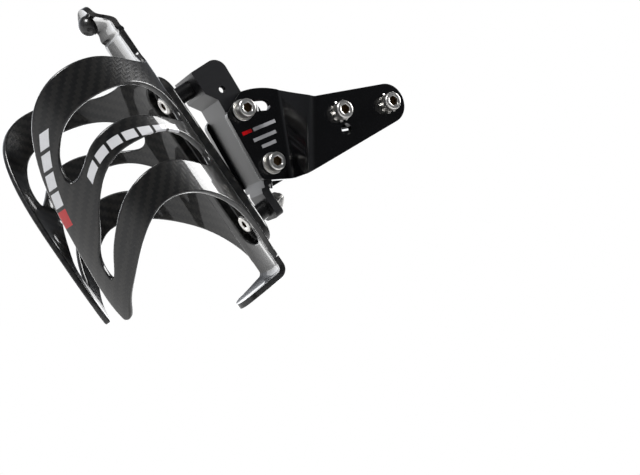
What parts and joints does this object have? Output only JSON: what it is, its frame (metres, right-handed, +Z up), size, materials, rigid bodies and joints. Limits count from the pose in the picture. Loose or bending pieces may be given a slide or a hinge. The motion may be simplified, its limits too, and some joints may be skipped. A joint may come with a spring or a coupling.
{
  "type": "saddle bottle carrier",
  "caption": "Wrapped carbon bottle cage on a tilting channel between two folded plates that clamp under a bicycle saddle's rails.",
  "frame": {"origin": "midway between the two saddle rails, at the middle of their clamps", "axes": "+X towards the front of the bicycle, +Y to its left, +Z up; the tilt pivot's axis is along Y"},
  "size_m": [0.1723, 0.0796, 0.1363],
  "materials": {
    "carbon_laminate": "gloss clear coat over woven carbon",
    "black_anodised": "black anodised, semi-gloss",
    "grey_anodised": "dark grey anodised, satin",
    "spacer_black": "black anodised, turned",
    "stainless_steel": "bright, lightly worn",
    "insert_nylon": "matte nylon"
  },
  "bodies": {
    "saddle_mount": {"right_side_plate": "black_anodised", "left_side_plate": "black_anodised", "right_clamp_bar": "black_anodised", "left_clamp_bar": "black_anodised", "right_rail_screws": "stainless_steel", "left_rail_screws": "stainless_steel", "right_rail_lock_washers": "stainless_steel", "left_rail_lock_washers": "stainless_steel"},
    "carrier": {"bottle_cage": "carbon_laminate", "carrier_channel": "grey_anodised", "right_pivot_screw": "stainless_steel", "left_pivot_screw": "stainless_steel", "right_tilt_screw": "stainless_steel", "left_tilt_screw": "stainless_steel", "right_pivot_washer": "stainless_steel", "left_pivot_washer": "stainless_steel", "right_tilt_washer": "stainless_steel", "left_tilt_washer": "stainless_steel", "upper_spacer": "spacer_black", "lower_spacer": "spacer_black", "upper_cage_screw": "stainless_steel", "lower_cage_screw": "stainless_steel", "upper_nut": "stainless_steel", "lower_nut": "stainless_steel", "upper_nut_insert": "insert_nylon", "lower_nut_insert": "insert_nylon"}
  },
  "joints": [
    {"name": "tilt", "type": "hinge", "parent": "saddle_mount", "child": "carrier", "pos_m": [-0.03975, 0, -0.02775], "axis": [0, 1, 0], "range_deg": [0, 24]}
  ]
}
